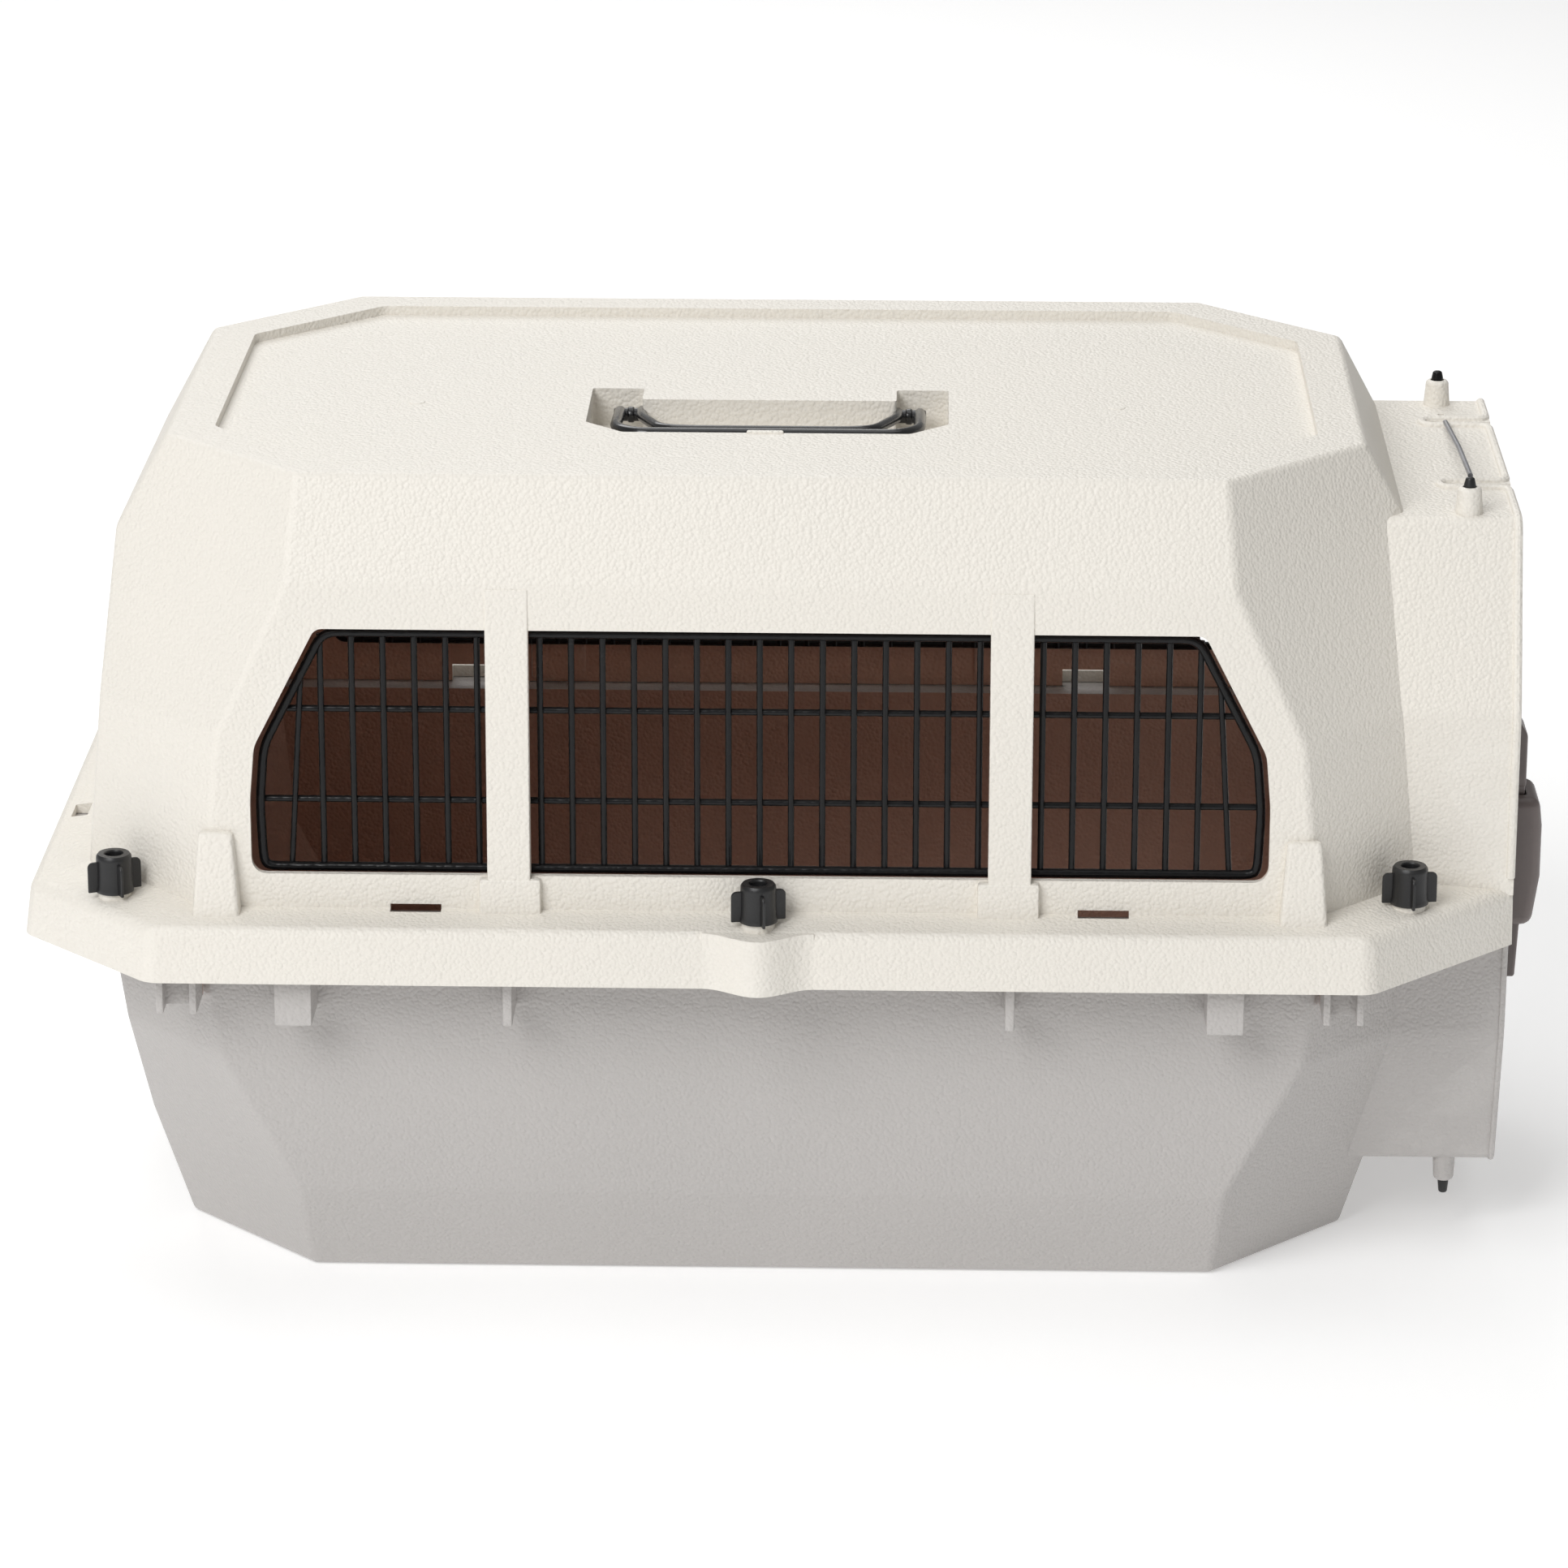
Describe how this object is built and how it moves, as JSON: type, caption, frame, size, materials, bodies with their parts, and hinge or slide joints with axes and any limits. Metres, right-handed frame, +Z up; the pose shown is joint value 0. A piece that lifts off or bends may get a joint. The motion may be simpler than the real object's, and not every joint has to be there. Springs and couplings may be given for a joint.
{
  "type": "pet transport carrier",
  "caption": "Hard plastic pet carrier of two bolted half shells with side windows behind wire grilles, an end door of wire with a squeeze latch, and a folding roof handle.",
  "frame": {"origin": "centre of the flat base face", "axes": "+X along the length towards the door, +Z up, the long sides with windows face -Y and +Y"},
  "size_m": [0.6228, 0.3894, 0.3477],
  "materials": {
    "cream_plastic": "cream moulded plastic with a fine pebble grain",
    "grey_plastic": "warm grey moulded plastic with a fine pebble grain",
    "taupe_plastic": "dark grey-brown satin moulded plastic",
    "black_wire": "steel wire dipped in glossy black coating",
    "black_plastic": "black moulded plastic, glossy on the handle and satin on the nuts",
    "steel": "plain zinc-plated steel"
  },
  "bodies": {
    "carrier": {"top_shell": "cream_plastic", "bottom_shell": "grey_plastic", "front_grille": "black_wire", "back_grille": "black_wire", "handle_pin_left": "steel", "handle_pin_right": "steel", "tie_rod": "steel", "carriage_bolt_front_left": "steel", "carriage_bolt_front_middle": "steel", "carriage_bolt_front_right": "steel", "carriage_bolt_back_left": "steel", "carriage_bolt_back_middle": "steel", "carriage_bolt_back_right": "steel"},
    "handle": {"carry_handle": "black_plastic"},
    "door": {"wire_door": "black_wire", "latch_housing": "taupe_plastic", "latch_upper_spring": "steel", "latch_lower_spring": "steel"},
    "upper_latch": {"latch_upper_slider": "taupe_plastic", "latch_upper_rod": "black_plastic"},
    "lower_latch": {"latch_lower_slider": "taupe_plastic", "latch_lower_rod": "black_plastic"},
    "nut_front_left": {"wing_nut_front_left": "black_plastic"},
    "nut_front_middle": {"wing_nut_front_middle": "black_plastic"},
    "nut_front_right": {"wing_nut_front_right": "black_plastic"},
    "nut_back_left": {"wing_nut_back_left": "black_plastic"},
    "nut_back_middle": {"wing_nut_back_middle": "black_plastic"},
    "nut_back_right": {"wing_nut_back_right": "black_plastic"}
  },
  "joints": [
    {"name": "handle_fold", "type": "hinge", "parent": "carrier", "child": "handle", "pos_m": [0, -0.0065, 0.3352], "axis": [-1, 0, 0], "range_deg": [0, 95]},
    {"name": "door_swing", "type": "hinge", "parent": "carrier", "child": "door", "pos_m": [0.2862, 0.0855, 0.175], "axis": [0, 0, 1], "range_deg": [0, 100]},
    {"name": "latch_upper_slide", "type": "slide", "parent": "door", "child": "upper_latch", "axis": [0, 0, -1], "range_m": [0, 0.0205], "stiffness_N_per_m": 150, "springref_m": -0.01, "deforming": ["latch_upper_spring"]},
    {"name": "latch_lower_slide", "type": "slide", "parent": "door", "child": "lower_latch", "axis": [0, 0, 1], "range_m": [0, 0.0205], "stiffness_N_per_m": 150, "springref_m": -0.01, "deforming": ["latch_lower_spring"]},
    {"name": "nut_spin_front_left", "type": "hinge", "parent": "carrier", "child": "nut_front_left", "pos_m": [-0.2625, -0.146, 0.1713], "axis": [0, 0, 1], "continuous": true},
    {"name": "nut_spin_front_middle", "type": "hinge", "parent": "carrier", "child": "nut_front_middle", "pos_m": [0, -0.1752, 0.1713], "axis": [0, 0, 1], "continuous": true},
    {"name": "nut_spin_front_right", "type": "hinge", "parent": "carrier", "child": "nut_front_right", "pos_m": [0.2625, -0.146, 0.1713], "axis": [0, 0, 1], "continuous": true},
    {"name": "nut_spin_back_left", "type": "hinge", "parent": "carrier", "child": "nut_back_left", "pos_m": [-0.2625, 0.146, 0.1713], "axis": [0, 0, 1], "continuous": true},
    {"name": "nut_spin_back_middle", "type": "hinge", "parent": "carrier", "child": "nut_back_middle", "pos_m": [0, 0.1752, 0.1713], "axis": [0, 0, 1], "continuous": true},
    {"name": "nut_spin_back_right", "type": "hinge", "parent": "carrier", "child": "nut_back_right", "pos_m": [0.2625, 0.146, 0.1713], "axis": [0, 0, 1], "continuous": true}
  ],
  "couplings": [
    {"joint": "latch_lower_slide", "follows": "latch_upper_slide", "ratio": 1}
  ]
}
